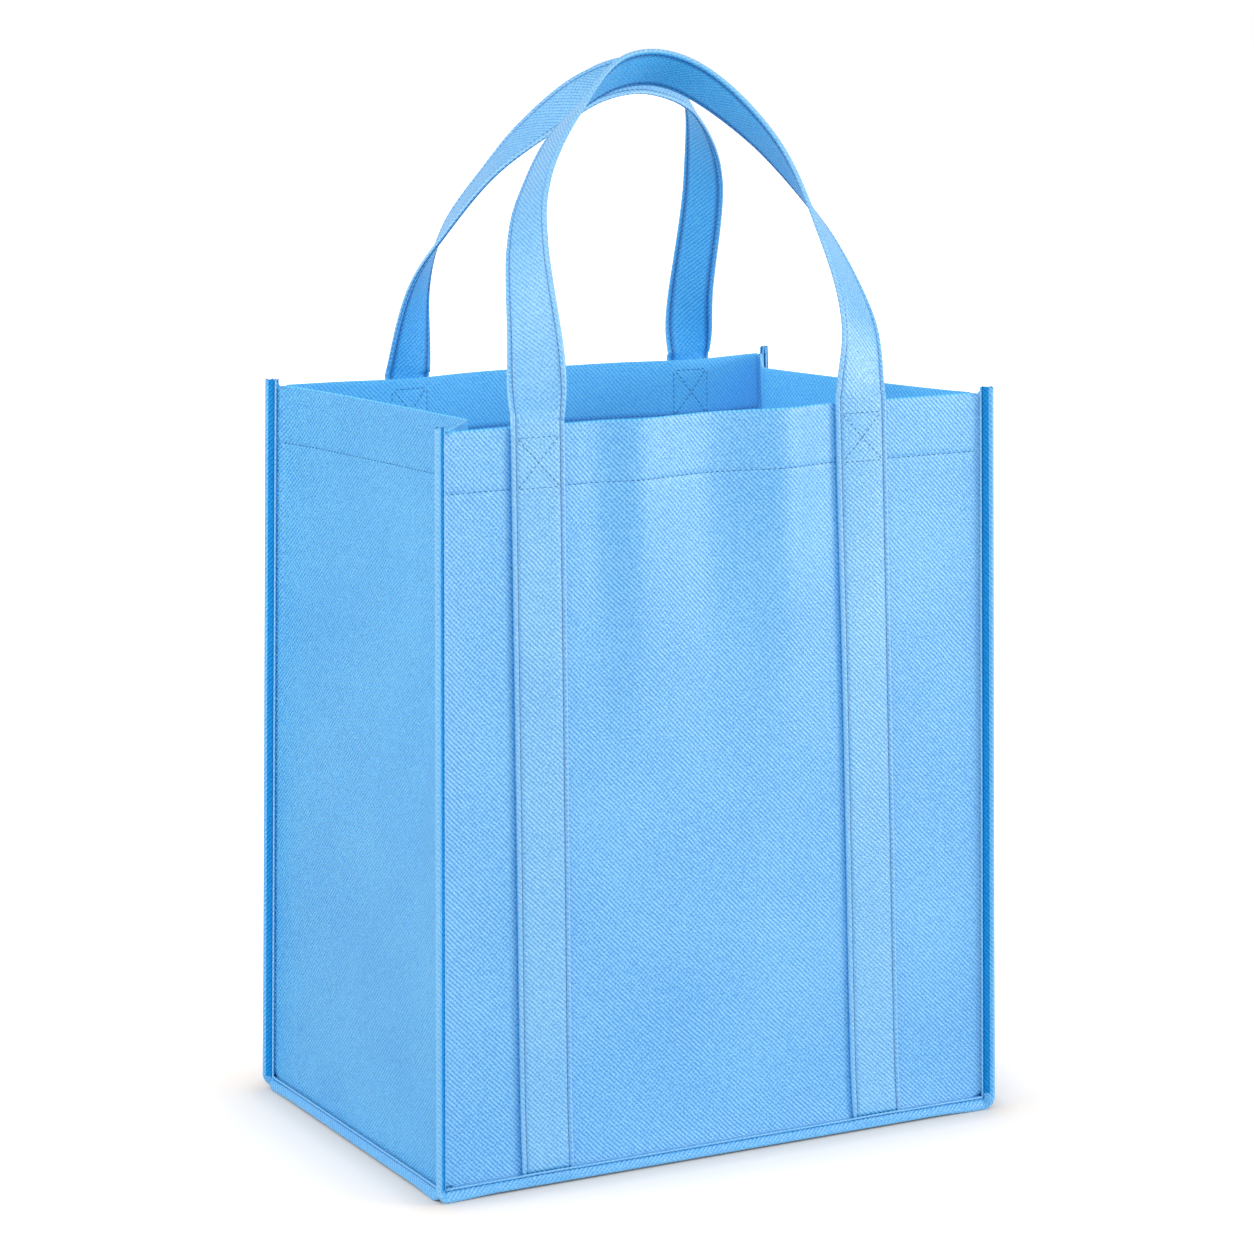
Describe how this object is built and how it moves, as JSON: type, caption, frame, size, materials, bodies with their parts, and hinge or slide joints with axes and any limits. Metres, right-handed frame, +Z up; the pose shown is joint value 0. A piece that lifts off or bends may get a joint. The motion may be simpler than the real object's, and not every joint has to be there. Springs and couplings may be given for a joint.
{
  "type": "shopping tote",
  "caption": "Open box-shaped shopping tote of embossed non-woven polypropylene with bound outside seams, turned-in hem, long sewn carrying straps and a stiff base insert.",
  "frame": {"origin": "on the ground under the middle of the bag", "axes": "+Z up, +X across the width of the bag, -Y out of the front panel"},
  "size_m": [0.3246, 0.225, 0.555],
  "materials": {
    "sheet": "embossed",
    "binding": "embossed",
    "strap": "embossed",
    "board": "matte"
  },
  "bodies": {
    "root": {"front_panel": "sheet", "back_panel": "sheet", "left_side_panel": "sheet", "right_side_panel": "sheet", "bottom_panel": "sheet", "front_binding": "binding", "back_binding": "binding", "left_base_binding": "binding", "right_base_binding": "binding", "front_handle": "strap", "back_handle": "strap", "base_board": "board"}
  },
  "joints": []
}
